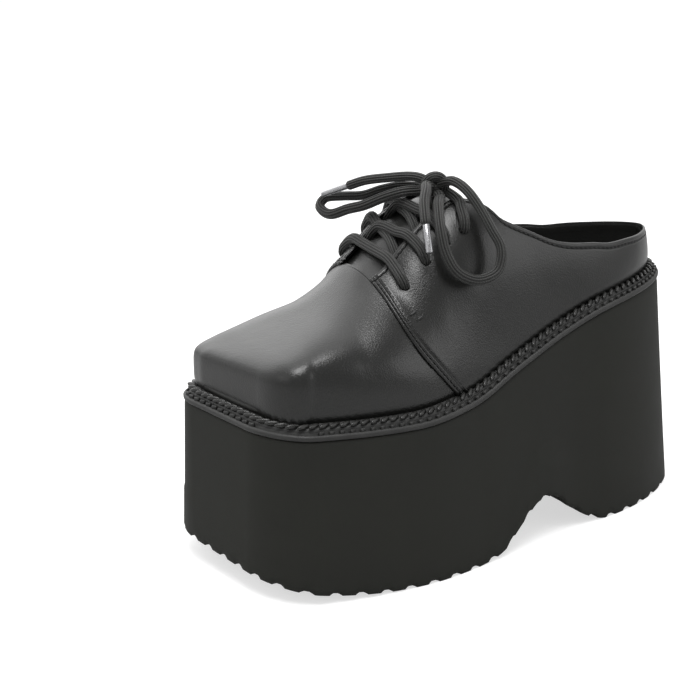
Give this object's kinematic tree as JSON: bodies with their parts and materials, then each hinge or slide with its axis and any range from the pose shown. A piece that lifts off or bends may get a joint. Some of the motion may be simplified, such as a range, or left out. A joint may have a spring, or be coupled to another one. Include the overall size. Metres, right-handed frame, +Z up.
{
  "type": "platform mule",
  "caption": "Lace-up leather mule for the left foot, with a square toe, an open low heel rim and a very thick moulded platform sole with an arch notch.",
  "frame": {"origin": "on the floor under the middle of the shoe's box, measured without the free lace", "axes": "+Z up, +Y towards the heel, -Y towards the toe, +X towards the outer side of the left foot"},
  "size_m": [0.1164, 0.28, 0.1882],
  "materials": {
    "platform_foam": "matt moulded foam",
    "welt_rubber": "satin",
    "black_leather": "smooth, half gloss",
    "lining": "matt",
    "lace_cord": "waxed braid",
    "lace_tag": "gloss"
  },
  "bodies": {
    "root": {"platform_sole": "platform_foam", "welt": "welt_rubber", "insole": "lining", "upper": "black_leather", "tongue": "black_leather", "lace_crossings": "lace_cord", "lace_knot": "lace_cord", "lace_rise_outer": "lace_cord", "lace_rise_inner": "lace_cord", "lace_loop_outer": "lace_cord", "lace_loop_inner": "lace_cord", "lace_end_outer": "lace_cord", "lace_end_inner": "lace_cord", "lace_tag_outer": "lace_tag", "lace_tag_inner": "lace_tag"}
  },
  "joints": []
}
